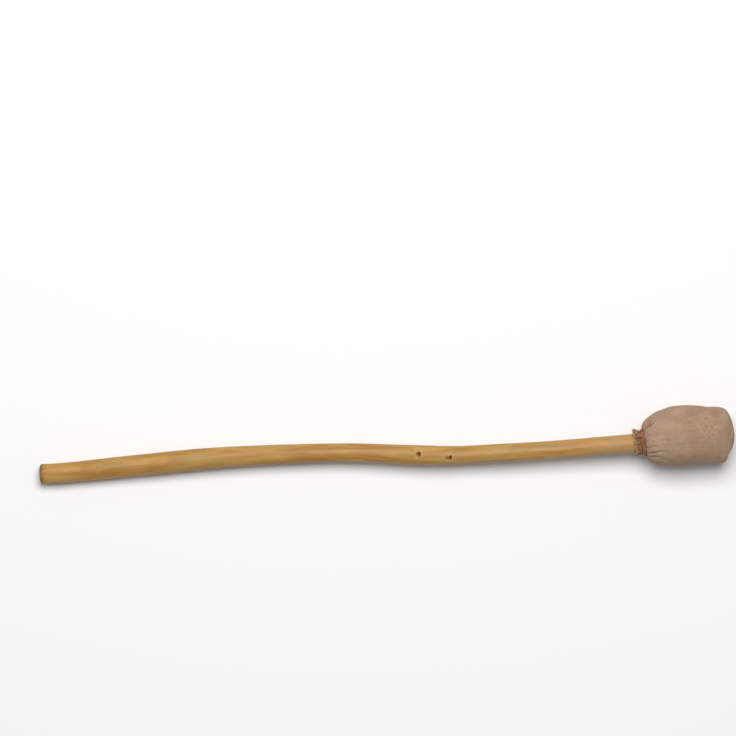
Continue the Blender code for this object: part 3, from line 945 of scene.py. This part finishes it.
def frill_lobe(angle):
    """How far across its lobe each angle is, from 0 to 1, the lobe's size, and how far back its edge is."""
    turn = np.degrees(angle) % 360
    creases = np.array([FRILL_CREASES[-1] - 360, *FRILL_CREASES, FRILL_CREASES[0] + 360])
    index = np.searchsorted(creases, turn, side="right") - 1
    share = (turn - creases[index]) / (creases[index + 1] - creases[index])
    lobes = np.array([FRILL_LOBES[-1], *FRILL_LOBES])
    return share, lobes[index, 0], lobes[index, 1]


def frill_shape(angle, share, size, drawn_back):
    """Smooth rings of the frill's outside and of its inside, from the tie to the cut edge."""
    bulge = np.sin(math.pi * share) ** FRILL_ROUNDNESS
    edge_radius = FRILL_CREASE_RADIUS + (FRILL_LOBE_RADIUS * size ** 0.4 - FRILL_CREASE_RADIUS) * bulge
    circle = round_x(0, FRILL_CYLINDER, angle)
    ragged = 0.7 * noise(circle, 3.4, 63) + 0.35 * noise(circle, 1.2, 64)
    edge_place = FRILL_END + FRILL_NOTCH * (1 - bulge) + drawn_back * bulge + ragged
    slant = 0.5 + 0.5 * bulge * (1 + noise(circle, 4.5, 65))
    outside, inside = [], []
    for step in range(1, FRILL_ROWS + 1):
        s = step / FRILL_ROWS
        swell = (1 - FRILL_FLARE) * ease(s * 2) + FRILL_FLARE * s ** 2
        radius = NECK_RADIUS + (edge_radius - NECK_RADIUS) * swell + 0.35 * bulge * math.sin(math.pi * s)
        place = FRILL_START + (edge_place - FRILL_START) * s
        lean = -math.radians(FRILL_OVERHANG) * np.sin(TURN * share) * s
        outside.append(neck_point(place + slant * s, radius, angle + lean))
        inner = np.maximum(radius - FRILL_THICKNESS, socket_radius(TIE_X + place))
        inside.append(neck_point(place, inner, angle + lean))
    return np.array(outside), np.array(inside)


def frill_crumple(outside, share, down):
    """How far crumples, creases and dents push each point of the frill, and how much painted shade it gets
    in the creases and dents.
    """
    crumple = 0.5 * noise(outside, 3.2, 61) + 0.22 * noise(outside, 1.4, 62) + 0.08 * noise(outside, 0.7, 67)
    crumple += (1.2 - down) * 0.4 * noise(drawn_out(outside, 6), 1.3, 70)
    painted_shade = hump(np.minimum(share, 1 - share) / 0.1)[None] * np.ones_like(down)
    for stretch, lump, seed, crease in ((2.4, 2.6, 68, 0.6), (1, 2.2, 69, 0.35)):
        wrinkle = hump(noise(drawn_out(outside, stretch), lump, seed) / 0.1)
        crumple -= crease * wrinkle
        painted_shade = np.maximum(painted_shade, crease * wrinkle)
    for distance, dent_angle, length, width, depth in FRILL_DENTS:
        away = (outside - neck_spot(distance, 1, dent_angle)) / (length, width, width)
        dent = hump(norm(away) / 1.3)
        crumple -= depth * dent
        painted_shade = np.maximum(painted_shade, 0.8 * dent)
    return crumple, painted_shade


def cut_edge(outside, inside):
    """Rings round the frill's cut edge, from its outside to its inside, rounded and a little ragged."""
    middle = (outside + inside) / 2
    half = (outside - inside) / 2
    rings = []
    for step in range(1, FRILL_EDGE_ROWS):
        turn = math.pi * step / FRILL_EDGE_ROWS
        rim = middle + half * math.cos(turn)
        rim[:, 0] -= 0.35 * math.sin(turn) * norm(half)
        rim[:, 0] += 0.12 * noise(rim, 0.9, 66)
        rings.append(rim)
    return np.array(rings)


def make_frill(angle):
    """The frill's rings: its outside from the tie to the cut edge, that edge, and its inside coming back;
    then how much painted shade each point of the outside gets in its creases, dents and root, and on its
    dark edge knobs."""
    share, size, drawn_back = frill_lobe(angle)
    outside, inside = frill_shape(angle, share, size, drawn_back)
    down = (np.arange(1, FRILL_ROWS + 1) / FRILL_ROWS)[:, None]
    crumple, painted_shade = frill_crumple(outside, share, down)
    knob_shade = np.zeros_like(painted_shade)
    for distance, knob_angle, knob_size in FRILL_SHADE_KNOBS:
        away = norm(outside - neck_spot(distance, 1.5, knob_angle))
        knob_shade = np.maximum(knob_shade, hump(away / knob_size))
    grow = ease(down * 2.2)
    push = outside - inside
    push = push / np.maximum(norm(push), 0.05)[..., None]
    crumple = np.maximum(crumple, -0.8) * grow
    outside = outside + push * crumple[..., None]
    inside = inside + push * np.clip(crumple, 0, 1)[..., None] * 0.8
    # Painted shade at the frill's root, by the tie.
    painted_shade = np.maximum(painted_shade * grow, 0.6 * hump(down / 0.14))
    return outside, cut_edge(outside[-1], inside[-1]), inside[::-FRILL_INNER_STRIDE], painted_shade, knob_shade


def socket_radius(x):
    return stick_radius(np.ravel(x)).reshape(np.shape(x)) + FIT_GAP


def make_head():
    angle = round_angles(HEAD_COLUMNS)
    runs = head_runs(HEAD_FINE_RUN, HEAD_FINE_STEP, HEAD_STEP)
    smooth = head_surface(runs, angle)
    normals = head_normals(smooth)
    pressed, fold_shade = pressed_and_pleated(smooth, normals, runs)
    texture, worn, pits = worn_texture(smooth, normals, runs, angle)
    body = draped_head(runs, angle) + pressed + texture
    over_tie = hump(turned(angle, math.radians(OVER_TIE_ANGLE)) / math.radians(OVER_TIE_SPREAD))
    body[..., 0] -= OVER_TIE * over_tie * hump((runs[:, None] - OVER_TIE_RUN) / OVER_TIE_RUN_SPREAD)
    body[..., 2] = np.maximum(body[..., 2], 0)

    outside, edge, inside, creases, knob_shade = make_frill(angle)
    groove = neck_point(FRILL_START, NECK_RADIUS, angle)[None]
    socket = []
    for distance in (FRILL_START, 4, SOCKET_DEPTH / 2, SOCKET_DEPTH):
        x = TIE_X + np.full_like(angle, distance)
        socket.append(stick_axis(x) + round_x(0, socket_radius(x), angle))
    rings = np.concatenate([body[::-1], groove, outside, edge, inside, np.array(socket)])

    # Rows of the marks: the body from its tip, the groove under the thread, the frill's outside, its edge
    # with the first row of its inside, the rest of the inside, and the socket.
    groove_row = len(runs)
    first_edge = groove_row + 1 + len(outside)
    past_edge = first_edge + len(edge) + 1
    # The first channel is painted shade: in the head's folds and dents, in the groove under the thread, in
    # the frill's creases and dents, and over the frill's inside and the socket.
    painted_fold_shade, wear, cut = np.zeros((3, *rings.shape[:2]))
    painted_fold_shade[:groove_row] = fold_shade[::-1]
    painted_fold_shade[groove_row] = 0.6
    painted_fold_shade[groove_row + 1:first_edge] = creases
    painted_fold_shade[past_edge:] = 0.9
    wear[:groove_row] = worn[::-1]
    cut[first_edge - 2] = 0.5
    cut[first_edge - 1:past_edge] = 1
    frill, soil_and_shade, pitted = np.zeros((3, *rings.shape[:2]))
    frill[groove_row:] = 1
    # Painted shade in the throat by the tie, on the frill towards the tie and on the dark knobs of its edge.
    throat = (1 - ease((runs - 1) / 4.5))[:, None] * (0.5 + 0.5 * noise(smooth, 2, 72))
    near_tie = 1 - ease(np.linspace(0, 1, len(outside)) / 0.5)
    soil_and_shade[:groove_row] = np.clip(throat, 0, 1)[::-1]
    soil_and_shade[groove_row + 1:first_edge] = np.maximum(near_tie[:, None], knob_shade)
    soil_and_shade[first_edge:past_edge] = knob_shade[-1]
    pitted[:groove_row] = pits[::-1]

    tip = head_centre(HEAD_TIP, HEAD_PROFILE[-1][2])[0]
    blind_end = stick_axis(TIE_X + SOCKET_DEPTH + FIT_GAP)[0]
    attributes = {
        "hide_marks": with_poles(np.stack([painted_fold_shade, wear, cut], axis=-1)),
        "frill_marks": with_poles(np.stack([frill, soil_and_shade, pitted], axis=-1)),
    }
    skin = closed_skin(rings, tip, blind_end)
    head = add_piece("suede_head", skin, suede_finish(), "leather_head", attributes)


def suede_finish():
    """Matt suede: mottled pinkish tan, worn and pitted on top, with painted shade in its folds, pale where
    cut.
    """
    made = Finish("suede_finish")
    place = made.place()
    painted_fold_shade, worn, cut = made.parts(made.attribute("hide_marks"))
    frill, soil_and_shade, pits = made.parts(made.attribute("frill_marks"))

    clouds = made.noise(place, 62, 3, 0.55, 0.4)
    hide = made.mix(made.ramp(clouds, 0.32, 0.68), (162, 134, 110), (178, 150, 126))
    pinks = made.noise(place, 120, 3, 0.6, 0.5)
    hide = made.tint(hide, made.ramp(pinks, 0.5, 0.72), 0.35, (170, 128, 104))
    greys = made.streaks(place, (0.8, 1, 1.3), 85, 2, 0.5)
    hide = made.tint(hide, made.ramp(greys, 0.55, 0.75), 0.4, (158, 143, 126))
    nap = made.noise(place, 1500, 4, 0.7)
    hide = made.grain(hide, made.ramp(nap, 0.25, 0.75), 0.2, (104, 78, 58))
    speckle = made.noise(place, 1250, 2, 0.6)
    hide = made.tint(hide, made.ramp(speckle, 0.5, 0.72), 0.32, (126, 94, 70))

    rough = made.noise(place, 700, 4, 0.7)
    rubbed = made.times(made.ramp(worn, 0.1, 0.9), made.ramp(rough, 0.42, 0.66))
    hide = made.tint(hide, rubbed, 0.26, (140, 98, 68))
    scratches = made.streaks(place, (0.14, 1, 1), 900, 3, 0.6)
    scratches = made.times(made.ramp(worn, 0, 0.6), made.ramp(scratches, 0.55, 0.68))
    hide = made.tint(hide, scratches, 0.3, (132, 94, 68))
    hide = made.tint(hide, pits, 0.36, (104, 70, 48))

    tans = made.ramp(made.noise(place, 240, 3, 0.6, 0.6), 0.36, 0.64)
    tan = made.mix(tans, (145, 103, 74), (177, 137, 107))
    tan = made.grain(tan, made.ramp(made.noise(place, 900, 3), 0.3, 0.7), 0.3, (84, 48, 28))
    hide = made.mix(frill, hide, tan)

    # Painted shade in the folds, creases and dents, under the thread and inside the frill.
    fold_shade_colour = made.mix(made.noise(place, 500, 2), (88, 54, 36), (120, 80, 58))
    hide = made.mix(made.ramp(painted_fold_shade, 0.12, 0.9), hide, fold_shade_colour)
    raw = made.mix(made.noise(place, 900, 3), (148, 110, 80), (196, 160, 124))
    hide = made.mix(cut, hide, raw)
    # Painted shade in the throat by the tie, on the frill's root and on the dark knobs of its edge.
    hide = made.tint(hide, soil_and_shade, 0.6, (112, 70, 44))

    relief = made.relief((made.noise(place, 420, 4, 0.65), 0.0002, 0.8), (nap, 0.00006, 0.7))
    return made.finish(Base_Color=hide, Roughness=0.93, Normal=relief, Specular_IOR_Level=0.2,
                       Sheen_Weight=0.07, Sheen_Roughness=0.45, Sheen_Tint=colour(226, 205, 188))


# ---- The binding thread ----

def smooth_path(points, step):
    """Evenly spaced points on the smooth curve through a list of points."""
    fine = through(points, np.linspace(0, 1, PATH_SAMPLES * len(points)))
    _, runs = steps_along(fine)
    even = np.linspace(0, runs[-1], max(int(runs[-1] / step), 4))
    return read_off(even, runs, fine)


def path_frames(path):
    """Two directions across a path at each point, carried along without twist."""
    ahead = unit(np.gradient(path, axis=0))
    across = np.zeros_like(path)
    first = np.array([0.3, 0.5, 0.8])
    for i, way in enumerate(ahead):
        start = first if i == 0 else across[i - 1]
        across[i] = unit(start - way * (start @ way))
    return across, np.cross(ahead, across)


def plies(path):
    """The twisted strands of a thread along a path, as the points and faces of closed tubes."""
    across, over = path_frames(path)
    _, run = steps_along(path)
    spin = round_angles(PLY_SIDES)
    fray = 1 + 0.5 * (hump(run / 0.8) + hump((run[-1] - run) / 0.8))
    tubes = []
    for ply in range(PLY_COUNT):
        turn = TURN * (run / PLY_PITCH + ply / PLY_COUNT)
        way = np.cos(turn)[:, None] * across + np.sin(turn)[:, None] * over
        centre = path + way * (PLY_OFFSET * fray)[:, None]
        rings = centre[:, None] + PLY_DIAMETER / 2 * spokes(*path_frames(centre), spin)
        start = centre[0] + unit(centre[0] - centre[1]) * PLY_DIAMETER * 0.35
        end = centre[-1] + unit(centre[-1] - centre[-2]) * PLY_DIAMETER * 0.35
        tubes.append(closed_skin(rings, start, end))
    return joined(tubes)


def winding_points():
    """The thread's turns round the neck, as rows of distance, lift and angle, wandering a little."""
    turns = np.linspace(0, THREAD_TURNS, TURN_POINTS * THREAD_TURNS + 1)
    angle = KNOT_ANGLE + 360 * turns
    turn = math.radians(1) * angle
    wander = 0.16 * np.sin(turn * 0.9 + 0.6) + 0.1 * np.sin(turn * 2.3)
    distance = THREAD_MIDDLE + THREAD_PITCH * (turns - THREAD_TURNS / 2) + wander
    return np.stack([distance, 0.1 * np.sin(turn * 1.7) ** 2, angle], axis=1)


def on_neck(rows):
    distance, lift, angle = np.array(rows, float).T
    return neck_point(distance, NECK_RADIUS + PLY_DIAMETER + THREAD_LIFT + lift, np.radians(angle))


def knot_loop():
    """The knot itself, an overhand knot over the turns, as rows like those of KNOT_STRANDS."""
    t = np.linspace(0, TURN, KNOT_POINTS)
    wide = KNOT_SCALE * (np.sin(t) + 2 * np.sin(2 * t))
    long = KNOT_SCALE * 0.8 * (np.cos(t) - 2 * np.cos(2 * t))
    lift = 1.25 - 0.55 * np.sin(3 * t)
    angle = np.degrees(wide / (NECK_RADIUS + 1))
    return np.stack([THREAD_MIDDLE + long, lift, angle], axis=1)


def make_thread():
    knot = [np.array(rows) + (0, 0, KNOT_ANGLE) for rows in (knot_loop(), *KNOT_STRANDS)]
    paths = [smooth_path(on_neck(rows), THREAD_STEP) for rows in (winding_points(), *knot)]
    skin = joined([plies(path) for path in paths])
    add_piece("tied_thread", skin, thread_finish(), "binding_thread", {})


def thread_finish():
    """Waxed orange thread: patchy, with fine fibres."""
    made = Finish("waxed_thread_finish")
    place = made.place()
    patches = made.noise(place, 420, 2)
    body = made.mix(made.ramp(patches, 0.35, 0.7), (158, 91, 60), (190, 124, 90))
    fibres = made.noise(place, 5200, 3, 0.6)
    body = made.grain(body, made.ramp(fibres, 0.3, 0.75), 0.35, (140, 68, 42))
    relief = made.relief((fibres, 0.00004, 0.6))
    return made.finish(Base_Color=body, Roughness=0.5, Normal=relief, Coat_Weight=0.15, Coat_Roughness=0.4)


# ---- The stage ----

def make_stage():
    """A plain pale floor, soft light from the far side, and a camera looking straight down."""
    corners = [(FLOOR_REACH * x, FLOOR_REACH * y, 0) for x, y in ((-1, -1), (1, -1), (1, 1), (-1, 1))]
    mesh = bpy.data.meshes.new("floor")
    mesh.from_pydata(corners, [], [(0, 1, 2, 3)])
    mesh.materials.append(Finish("floor_paint").finish(Base_Color=FLOOR_GREY, Roughness=0.9))
    floor = add_object("floor", mesh)

    world = bpy.data.worlds.new("soft_sky")
    bpy.context.scene.world = world
    world.use_nodes = True
    sky = world.node_tree.nodes["Background"]
    sky.inputs["Color"].default_value = (1, 1, 1, 1)
    sky.inputs["Strength"].default_value = SKY_STRENGTH

    for name, place, size, power in LIGHTS:
        light = bpy.data.lights.new(name, "AREA")
        light.size = size
        light.energy = power
        lamp = add_object(name, light)
        lamp.location = place
        lamp.rotation_euler = (-Vector(place)).to_track_quat("-Z", "Y").to_euler()

    camera = bpy.data.cameras.new("camera")
    camera.lens = CAMERA_LENS
    camera.sensor_width = CAMERA_SENSOR
    camera.clip_end = CAMERA_REACH
    eye = add_object("camera", camera)
    eye.location = CAMERA_PLACE
    bpy.context.scene.camera = eye
    bpy.context.scene.view_settings.view_transform = "Standard"


make_stage()
make_stick()
make_head()
make_thread()
